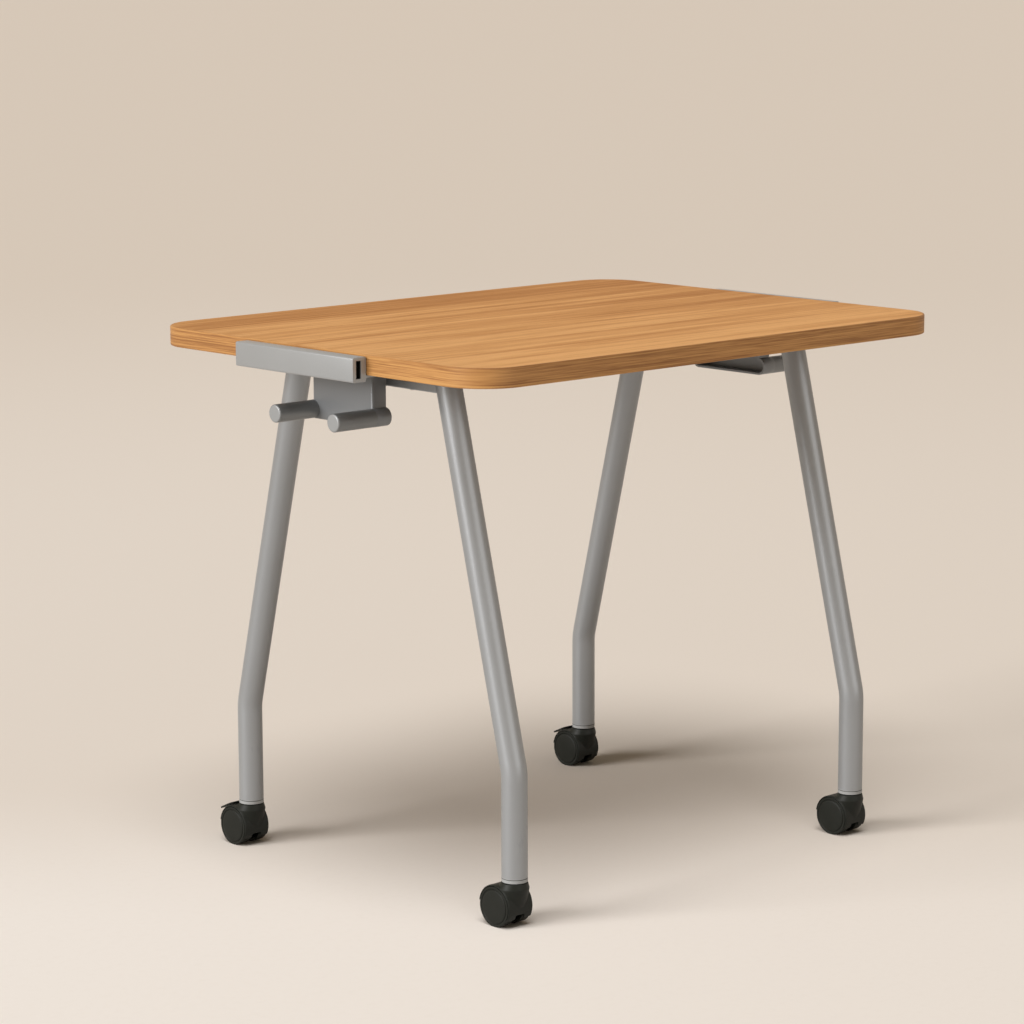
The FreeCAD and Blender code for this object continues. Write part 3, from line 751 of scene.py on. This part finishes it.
# %% Hood pockets, open side, web and notch
POCKET_RADIUS = 27.15
POCKET_END = 40
WEB_RADIUS = 20
WEB_HALF = 6
OPEN_FROM = 210
OPEN_TO = 8
WEDGE = ((-30, -80, -80), (30, 120, 120))
NOTCH = ((-7.5, -20, 0), (7.5, -3, 18))
for span in ((-POCKET_END, -WEB_HALF), (WEB_HALF, POCKET_END)):
    combine(hood, round_bar("pocket_tool", POCKET_RADIUS, span), "DIFFERENCE")
wedge = block("wedge_tool", *WEDGE)
bpy.ops.object.mode_set(mode="EDIT")
for turn in (OPEN_FROM + 90, OPEN_TO - 90):
    angle = math.radians(turn)
    inward = (0, math.cos(angle), math.sin(angle))
    bpy.ops.mesh.select_all(action="SELECT")
    bpy.ops.mesh.bisect(plane_co=(0, AXLE_Y, WHEEL_RADIUS), plane_no=inward, clear_inner=True, use_fill=True)
bpy.ops.object.mode_set(mode="OBJECT")
combine(hood, wedge, "DIFFERENCE")
combine(hood, round_bar("web_tool", WEB_RADIUS, (-WEB_HALF, WEB_HALF)), "UNION")
combine(hood, block("notch_tool", *NOTCH), "DIFFERENCE")
print("hood opened,", len(hood.data.polygons), "faces")

# %% Pedal slot and soft edges
PEDAL_SLOPE = 65
PEDAL_LEAN = math.radians(PEDAL_SLOPE - 90)
PEDAL_SLOT = ((-3.3, -5, 18.2), (3.3, 5, 40))
VOXEL = 0.5 * MM


def lean(piece):
    """Moves a piece drawn level at the origin onto the hood's rear slope."""
    alone(piece)
    piece.location = (0, AXLE_Y, WHEEL_RADIUS)
    piece.rotation_euler = (PEDAL_LEAN, 0, 0)
    bpy.ops.object.transform_apply(location=True, rotation=True, scale=True)
    return piece


alone(hood)
bpy.ops.object.duplicate()
braked_hood = begin("braked_hood_pattern")
combine(braked_hood, lean(block("slot_tool", *PEDAL_SLOT)), "DIFFERENCE")
for shell in (hood, braked_hood):
    use(shell, "REMESH", mode="VOXEL", voxel_size=VOXEL)
    use(shell, "SMOOTH", factor=0.5, iterations=4)
    use(shell, "DECIMATE", ratio=0.35)
    bpy.ops.object.shade_smooth()
    print(shell.name, len(shell.data.polygons), "faces")

# %% [markdown]
# ## Brake pedals
# The two rear casters have a pedal: a thin plate over the hood with rounded corners at its tip and a
# few low ribs for the toe, on an ear that goes down to a pin. It is drawn level, where its sizes are
# plain, and then leaned onto the hood. The ribs are strips of the plate's own top, cut by planes and
# raised.

# %% Pedal plate and ribs
PLATE = ((-19, -7, 30), (19, 20.5, 32))
TIP_ROUND = 5
HEEL_ROUND = 2
RIB_STARTS = (9, 12, 15)
RIB_WIDTH = 1.2
RIB_HALF = 15
RIB_HEIGHT = 0.5
PEDAL_EASE = 0.3 * MM


def on_rib(spot, way):
    """A face of the plate's top that is part of a rib."""
    inside = any(start * MM < spot.y < (start + RIB_WIDTH) * MM for start in RIB_STARTS)
    return way.z > 0.9 and abs(spot.x) < RIB_HALF * MM and inside


pedal = block("pedal_pattern", *PLATE)
pick(pedal, "EDGE", lambda spot, way: abs(way.z) > 0.9 and spot.y > 0)
bpy.ops.mesh.bevel(offset=TIP_ROUND * MM, segments=6)
pick(pedal, "EDGE", lambda spot, way: abs(way.z) > 0.9 and spot.y < 0)
bpy.ops.mesh.bevel(offset=HEEL_ROUND * MM, segments=4)
for start in RIB_STARTS:
    slice_at((0, start * MM, 0), (0, 1, 0))
    slice_at((0, (start + RIB_WIDTH) * MM, 0), (0, 1, 0))
for place in (-RIB_HALF, RIB_HALF):
    slice_at((place * MM, 0, 0), (1, 0, 0))
pick(pedal, "FACE", on_rib)
bpy.ops.mesh.extrude_region_move(TRANSFORM_OT_translate={"value": (0, 0, RIB_HEIGHT * MM)})
bpy.ops.object.mode_set(mode="OBJECT")
soften(pedal, PEDAL_EASE)
print("pedal plate with", len(RIB_STARTS), "ribs")

# %% Pedal ear and pin hole
PIVOT = 21.5
EAR_HALF = 3
EAR_TOP = 30.6
PIN_HOLE = 1.56
ear = ((-EAR_HALF, -EAR_HALF, PIVOT), (EAR_HALF, EAR_HALF, EAR_TOP))
combine(pedal, block("ear_tool", *ear), "UNION")
combine(pedal, round_bar("ear_round_tool", EAR_HALF, (-EAR_HALF, EAR_HALF), (0, PIVOT)), "UNION")
combine(pedal, round_bar("pin_tool", PIN_HOLE, (-10, 10), (0, PIVOT)), "DIFFERENCE")
lean(pedal)
bpy.ops.object.shade_smooth_by_angle(angle=SMOOTH_ANGLE)
print("pedal pattern,", len(pedal.data.polygons), "faces")

# %% [markdown]
# ## Casters in place
# One wheel, two hoods and one pedal serve all four corners. A wheel on the left of its caster is the
# same wheel turned half round, and the pedals go to the two rear casters only.

# %% Casters in place
for corner in CORNERS:
    place = foot_of(corner)
    braked = corner.endswith("rear")
    shell = copy_to(braked_hood if braked else hood, "hood_" + corner, place)
    settle(shell, black_nylon, "caster_" + corner, "caster_hood_" + corner)
    if braked:
        lever = copy_to(pedal, "pedal_" + corner, place)
        settle(lever, black_nylon, "brake_pedal_body_" + corner, "brake_pedal_" + corner)
    for which in ("outer", "inner"):
        on_right = corner.startswith("right") == (which == "outer")
        disc = copy_to(wheel, "wheel_" + which + "_" + corner, place, None if on_right else AXLE_Y)
        own = which + "_wheel_"
        settle(disc, black_tread, own + "body_" + corner, own + corner)
for pattern in (wheel, hood, braked_hood, pedal):
    bpy.data.objects.remove(pattern)
print("casters placed at", len(CORNERS), "corners")

# %% [markdown]
# ## End rails
# Each short edge carries a grey extrusion with a deep slot at its ends and a flange that goes under the
# top. Its long edges are well rounded and its cut ends are only eased, so the long edges are beveled
# first, by hand, and a small bevel modifier does the rest after the slot and the flange are in.

# %% Rail blank, slot and flange
RAIL_X = (433.7, 455.7)
RAIL_Z = (701, 733)
RAIL_CORNER = 2.5
RAIL_EASE = 1.2 * MM
FLANGE_X = (400.5, 442.0)
FLANGE_Z = (706, 709)
OVERRUN = 12
SCREW_HOLE = 2.5
HOLE_Z = (700, 715)
RAIL_SCREW_X = 416.5
RAIL_SCREWS = (-93, -31, 31, 93)


def along_rail(name, x_span, z_span, half):
    """Block along a rail, with a given width, height and half length."""
    return block(name, (x_span[0], -half, z_span[0]), (x_span[1], half, z_span[1]))


rail = along_rail("rail_pattern", RAIL_X, RAIL_Z, RAIL_HALF)
pick(rail, "EDGE", lambda spot, way: abs(way.y) > 0.9)
bpy.ops.mesh.bevel(offset=RAIL_CORNER * MM, segments=5)
bpy.ops.object.mode_set(mode="OBJECT")
combine(rail, along_rail("slot_tool", SLOT_X, SLOT_Z, RAIL_HALF + OVERRUN), "DIFFERENCE")
combine(rail, along_rail("flange_tool", FLANGE_X, FLANGE_Z, RAIL_HALF), "UNION")
for place in RAIL_SCREWS:
    combine(rail, upright_bar("screw_hole_tool", SCREW_HOLE, (RAIL_SCREW_X, place), HOLE_Z), "DIFFERENCE")
soften(rail, RAIL_EASE, 3)
print("rail pattern,", len(rail.data.polygons), "faces")

# %% Rails in place
for end, side in ENDS.items():
    piece = copy_to(rail, "rail_" + end, (0, 0), None if side > 0 else 0)
    settle(piece, grey_rail, "table", "dock_rail_" + end)
bpy.data.objects.remove(rail)
print("rails placed at both ends")

# %% [markdown]
# ## Hook brackets
# A bracket is a box of sheet metal, open at its back, and its lower corners swell into round bosses
# that carry on the line of the two pegs. It could be one extruded outline, but a block, a sill and two
# bosses are easier to follow: they are joined, and the same four shapes, one wall smaller, are cut out
# again from behind.

# %% Bracket shell
BACK, FACE = 351.5, 374.5
BRACKET_HALF = 60
BRACKET_TOP = 709
PEG_SIDE = 59
PEG_LEVEL = 642.5
PEG_SPOTS = ((-PEG_SIDE, PEG_LEVEL), (PEG_SIDE, PEG_LEVEL))
BOSS = 12.1
BRACKET_CORNER = 2.5
bracket = block("bracket_pattern", (BACK, -BRACKET_HALF, PEG_LEVEL), (FACE, BRACKET_HALF, BRACKET_TOP))
pick(bracket, "EDGE", lambda spot, way: abs(way.z) > 0.9 and spot.x > (FACE - 0.5) * MM)
bpy.ops.mesh.bevel(offset=BRACKET_CORNER * MM, segments=4)
bpy.ops.object.mode_set(mode="OBJECT")
sill = ((BACK, -PEG_SIDE, PEG_LEVEL - BOSS), (FACE, PEG_SIDE, PEG_LEVEL + BOSS))
combine(bracket, block("sill_tool", *sill), "UNION")
for spot in PEG_SPOTS:
    combine(bracket, round_bar("boss_tool", BOSS, (BACK, FACE), spot), "UNION")
print("bracket joined,", len(bracket.data.polygons), "faces")

# %% Bracket hollow and holes
WALL = 3
BEHIND = 340
INNER_FACE = FACE - WALL
INNER_HALF = BRACKET_HALF - WALL
INNER_BOSS = BOSS - WALL
PEG_SCREW_X = (360, 380)
BRACKET_SCREW_X = 361.5
BRACKET_SCREWS = (-45, -15, 15, 45)
BRACKET_EASE = 0.35 * MM
hollow = ((BEHIND, -INNER_HALF, PEG_LEVEL), (INNER_FACE, INNER_HALF, BRACKET_TOP - WALL))
combine(bracket, block("room_tool", *hollow), "DIFFERENCE")
hollow = ((BEHIND, -PEG_SIDE, PEG_LEVEL - INNER_BOSS), (INNER_FACE, PEG_SIDE, PEG_LEVEL + INNER_BOSS))
combine(bracket, block("room_tool", *hollow), "DIFFERENCE")
for spot in PEG_SPOTS:
    combine(bracket, round_bar("room_tool", INNER_BOSS, (BEHIND, INNER_FACE), spot), "DIFFERENCE")
    combine(bracket, round_bar("screw_hole_tool", SCREW_HOLE, PEG_SCREW_X, spot), "DIFFERENCE")
for place in BRACKET_SCREWS:
    hole = upright_bar("screw_hole_tool", SCREW_HOLE, (BRACKET_SCREW_X, place), HOLE_Z)
    combine(bracket, hole, "DIFFERENCE")
soften(bracket, BRACKET_EASE)
print("bracket pattern,", len(bracket.data.polygons), "faces")

# %% Brackets in place
for end, side in ENDS.items():
    piece = copy_to(bracket, "bracket_" + end, (0, 0), None if side > 0 else 0)
    settle(piece, grey_bracket, "table", "hook_bracket_" + end)
bpy.data.objects.remove(bracket)
print("brackets placed at both ends")

# %% [markdown]
# ## Finishes on the CAD pieces
# The other pieces keep their CAD shape. Each node of the record names its material slot, so one table
# from slot to finish dresses them all, and the edge band takes its own wood because its grain runs
# round the edge.

# %% Finishes on the CAD pieces
FINISHES = {
    "wood_laminate": oak_top,
    "core_board": board,
    "backer": backer,
    "grey_paint": grey_paint,
    "grey_peg": grey_peg,
    "grey_rail": grey_rail,
    "socket_plastic": grey_collar,
    "black_nylon": black_nylon,
    "bare_steel": bright_steel,
    "screw_steel": zinc_steel,
}
for part in frame["record"]["subparts"]:
    node = frame["nodes"][part["node"]]
    finish = FINISHES[part["material_slot"]]
    if part["node"] == "edge_band":
        finish = oak_edge
    node.data.materials.clear()
    node.data.materials.append(finish.material)
